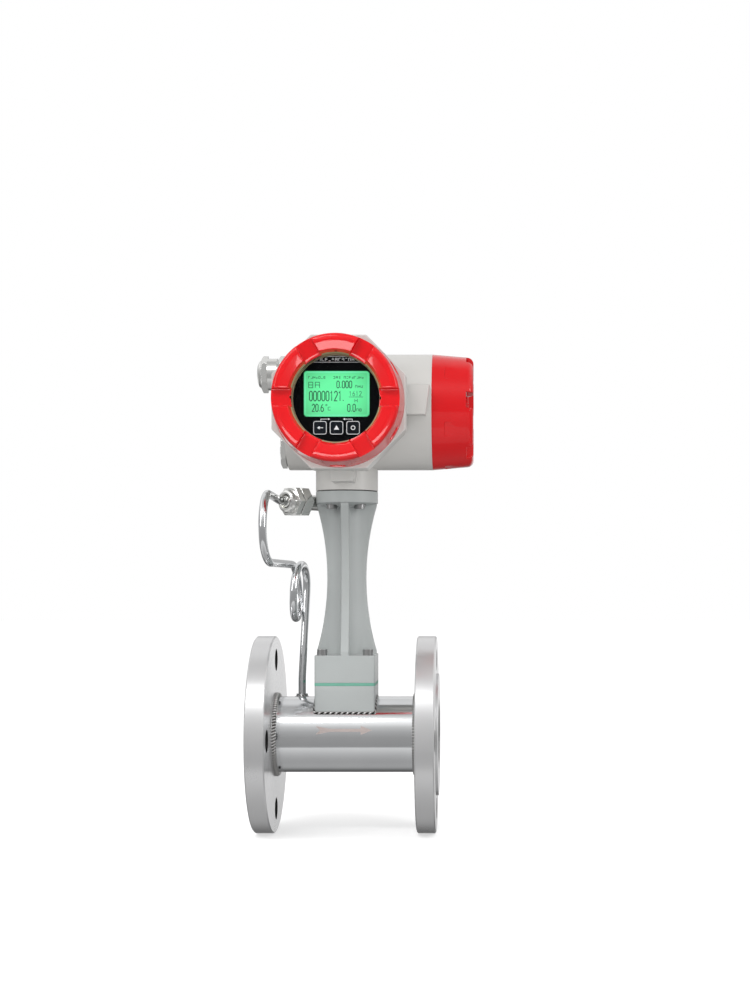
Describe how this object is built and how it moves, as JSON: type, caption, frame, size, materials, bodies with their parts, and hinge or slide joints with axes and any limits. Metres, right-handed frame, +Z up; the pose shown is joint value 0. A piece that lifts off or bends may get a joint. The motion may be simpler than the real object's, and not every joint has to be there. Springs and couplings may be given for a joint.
{
  "type": "vortex flow meter",
  "caption": "Flanged vortex flow meter with a ribbed neck, a head with red screw covers, a lit display with keys, a cable gland and a coiled pressure tube.",
  "frame": {"origin": "on the tube axis, in the plane of the inlet flange that its bolt holes start from, 2 mm behind the raised face", "axes": "+X along the flow, +Z up the neck, -Y towards the reader of the display"},
  "size_m": [0.184, 0.2005, 0.406],
  "materials": {
    "polished_steel": "polished",
    "flange_steel": "turned satin",
    "grey_casting": "light grey satin paint",
    "white_casting": "off-white satin paint",
    "red_covers": "gloss red enamel",
    "window_glass": "clear",
    "black_rubber": "matte",
    "green_gasket": "matte",
    "dark_screws": "satin",
    "tan_ring": "satin",
    "charcoal_plate": "matte",
    "lit_display": "glossy",
    "keys": "satin",
    "circuit_board": "satin",
    "brass_posts": "satin",
    "terminal_plastic": "satin",
    "plated_brass": "nickel plated"
  },
  "bodies": {
    "meter": {"flow_tube": "polished_steel", "inlet_flange": "flange_steel", "outlet_flange": "flange_steel", "shedder_bar": "polished_steel", "vortex_probe": "polished_steel", "probe_seal": "black_rubber", "temperature_probe": "polished_steel", "base_block": "grey_casting", "block_gasket": "green_gasket", "block_screws": "dark_screws", "neck": "grey_casting", "head_screws": "dark_screws", "seam_seal": "black_rubber", "housing": "white_casting", "face_plate": "charcoal_plate", "lcd_panel": "lit_display", "key_switches": "charcoal_plate", "display_board": "circuit_board", "main_board": "circuit_board", "lower_posts": "brass_posts", "upper_posts": "brass_posts", "terminal_plate": "charcoal_plate", "terminal_block": "terminal_plastic", "terminal_screws": "flange_steel", "gland_ring": "black_rubber", "gland_body": "plated_brass", "gland_nut": "plated_brass", "gland_bush": "black_rubber", "plug_ring": "black_rubber", "blanking_plug": "plated_brass", "siphon_socket": "polished_steel", "siphon_tube": "polished_steel", "union_nut": "plated_brass", "union_body": "plated_brass", "ferrule": "plated_brass", "pressure_cell": "flange_steel"},
    "display_cover_slide": {"display_cover_ring": "black_rubber"},
    "display_cover_turn": {"display_cover": "red_covers", "window_glass": "window_glass", "glass_retainer": "tan_ring"},
    "side_cover_slide": {"side_cover_ring": "black_rubber"},
    "side_cover_turn": {"side_cover": "red_covers"},
    "left_key": {"key_left": "keys"},
    "middle_key": {"key_middle": "keys"},
    "right_key": {"key_right": "keys"}
  },
  "joints": [
    {"name": "display_cover_travel", "type": "slide", "parent": "meter", "child": "display_cover_slide", "axis": [0, -1, 0], "range_m": [0, 0.0121]},
    {"name": "display_cover_screw", "type": "hinge", "parent": "display_cover_slide", "child": "display_cover_turn", "pos_m": [0.0755, -0.084, 0.2705], "axis": [0, -1, 0], "range_deg": [0, 2160]},
    {"name": "side_cover_travel", "type": "slide", "parent": "meter", "child": "side_cover_slide", "axis": [1, 0, 0], "range_m": [0, 0.0121]},
    {"name": "side_cover_screw", "type": "hinge", "parent": "side_cover_slide", "child": "side_cover_turn", "pos_m": [0.1479, 0, 0.2705], "axis": [1, 0, 0], "range_deg": [0, 2160]},
    {"name": "left_key_press", "type": "slide", "parent": "meter", "child": "left_key", "axis": [0, 1, 0], "range_m": [0, 0.0005], "stiffness_N_per_m": 300},
    {"name": "middle_key_press", "type": "slide", "parent": "meter", "child": "middle_key", "axis": [0, 1, 0], "range_m": [0, 0.0005], "stiffness_N_per_m": 300},
    {"name": "right_key_press", "type": "slide", "parent": "meter", "child": "right_key", "axis": [0, 1, 0], "range_m": [0, 0.0005], "stiffness_N_per_m": 300}
  ],
  "couplings": [
    {"joint": "display_cover_travel", "follows": "display_cover_screw", "m_per_rad": 0.00031831},
    {"joint": "side_cover_travel", "follows": "side_cover_screw", "m_per_rad": 0.00031831}
  ]
}
